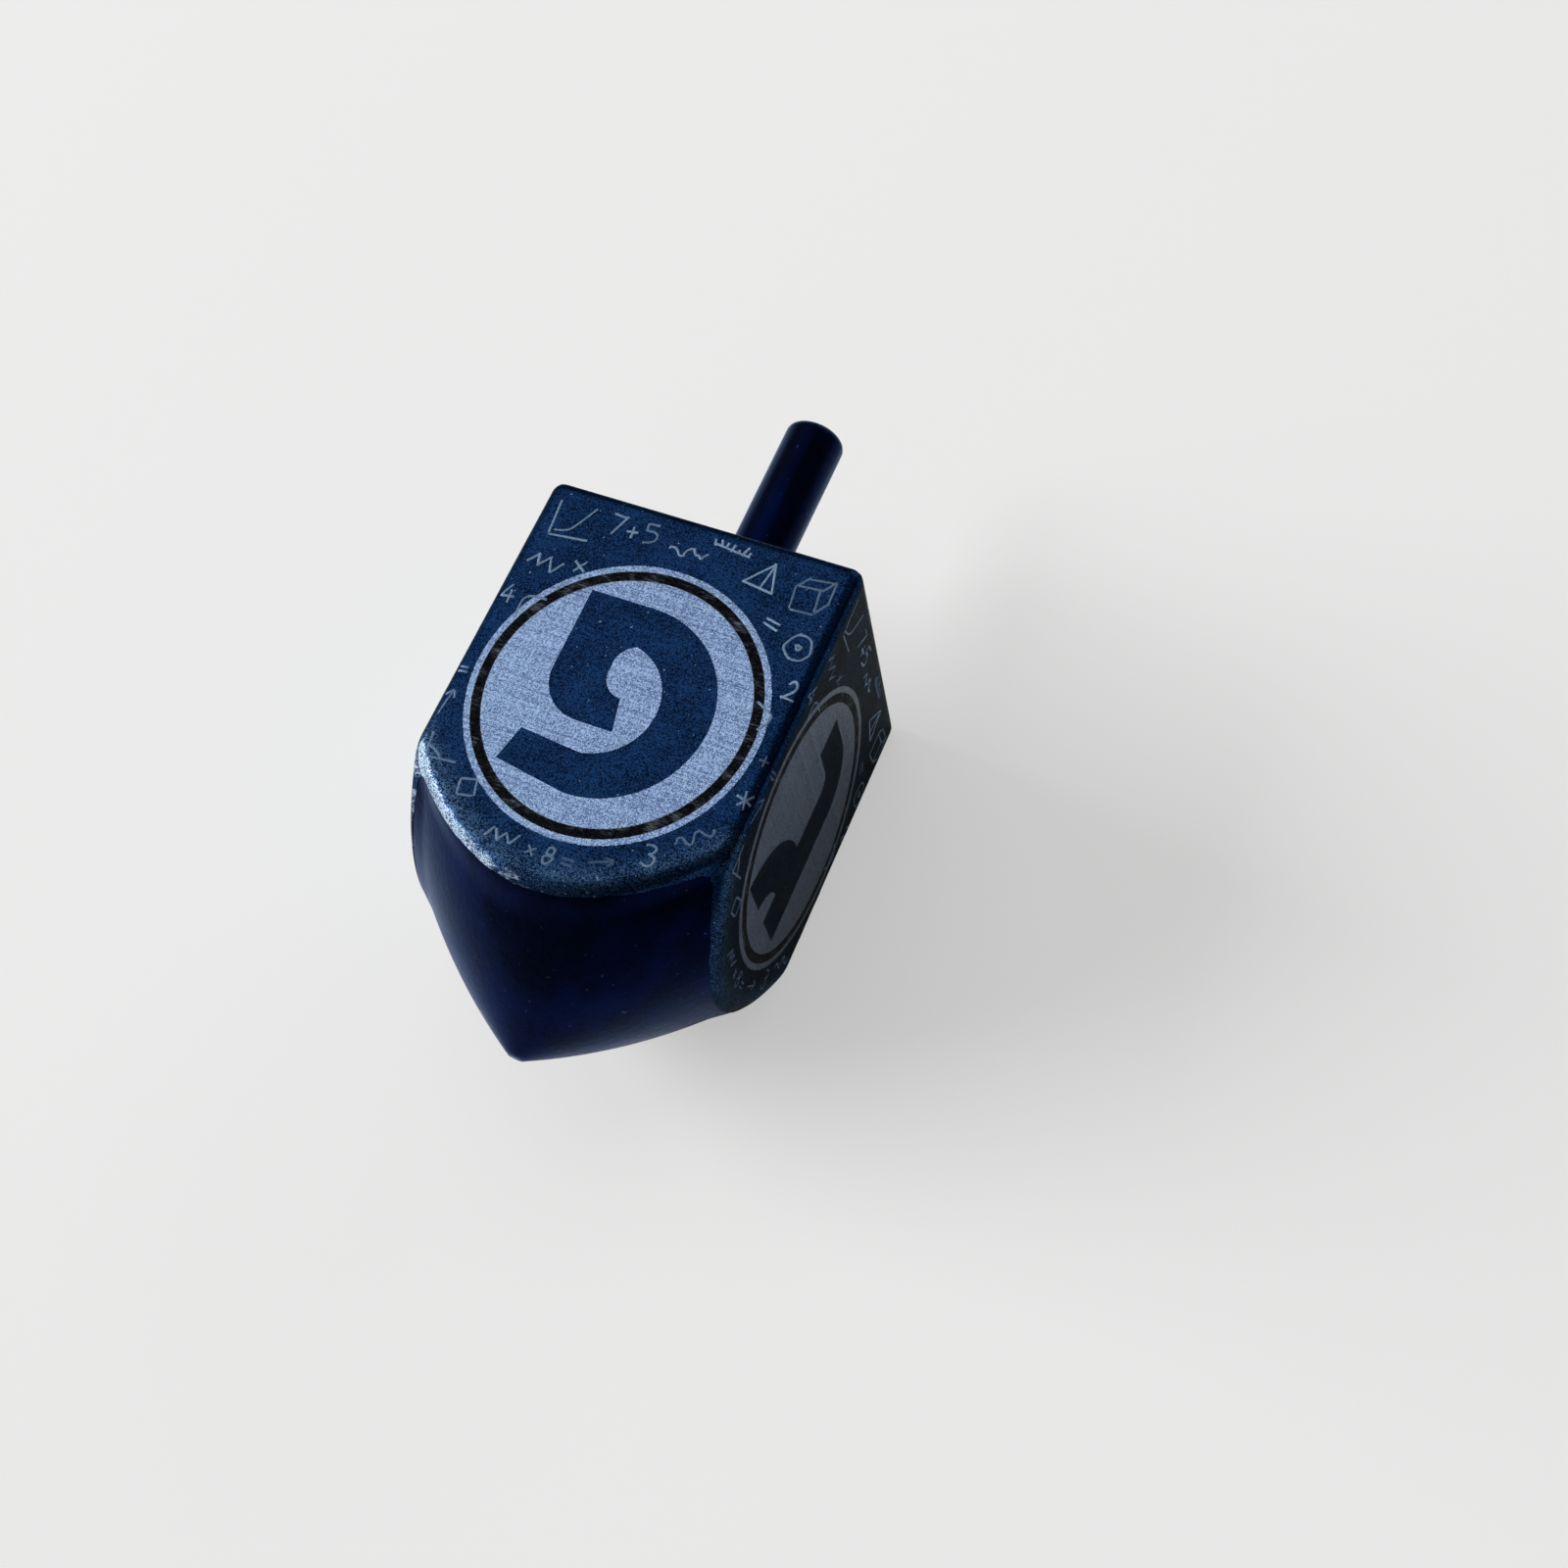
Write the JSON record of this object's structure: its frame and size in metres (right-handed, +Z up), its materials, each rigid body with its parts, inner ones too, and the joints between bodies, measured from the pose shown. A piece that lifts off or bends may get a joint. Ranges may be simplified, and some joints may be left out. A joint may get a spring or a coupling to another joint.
{
  "type": "dreidel",
  "caption": "Square wooden spinning top turned to a point, with a dowel handle and a metallic printed foil with a letter roundel on each flat side.",
  "frame": {"origin": "on the surface that the dreidel lies on, under the middle of its bounding box", "axes": "+X out of the gimel side, +Y along the spin axis towards the handle, +Z up out of the pe side"},
  "size_m": [0.0254, 0.0572, 0.0255],
  "materials": {
    "navy_paint": "semi-gloss navy paint on hardwood",
    "blue_foil": "blue metallic printed foil, satin",
    "silver_foil": "silver metallic printed foil, satin",
    "black_ink": "black print on foil, slightly chipped"
  },
  "bodies": {
    "root": {"block": "navy_paint", "handle": "navy_paint", "pe_foil": "blue_foil", "pe_border": "silver_foil", "pe_ring": "black_ink", "pe_disc": "silver_foil", "pe_letter": "blue_foil", "gimel_foil": "blue_foil", "gimel_border": "silver_foil", "gimel_ring": "black_ink", "gimel_disc": "silver_foil", "gimel_letter": "blue_foil", "nun_foil": "blue_foil", "nun_border": "silver_foil", "nun_ring": "black_ink", "nun_disc": "silver_foil", "nun_letter": "blue_foil", "hei_foil": "blue_foil", "hei_border": "silver_foil", "hei_ring": "black_ink", "hei_disc": "silver_foil", "hei_letter": "blue_foil"}
  },
  "joints": []
}
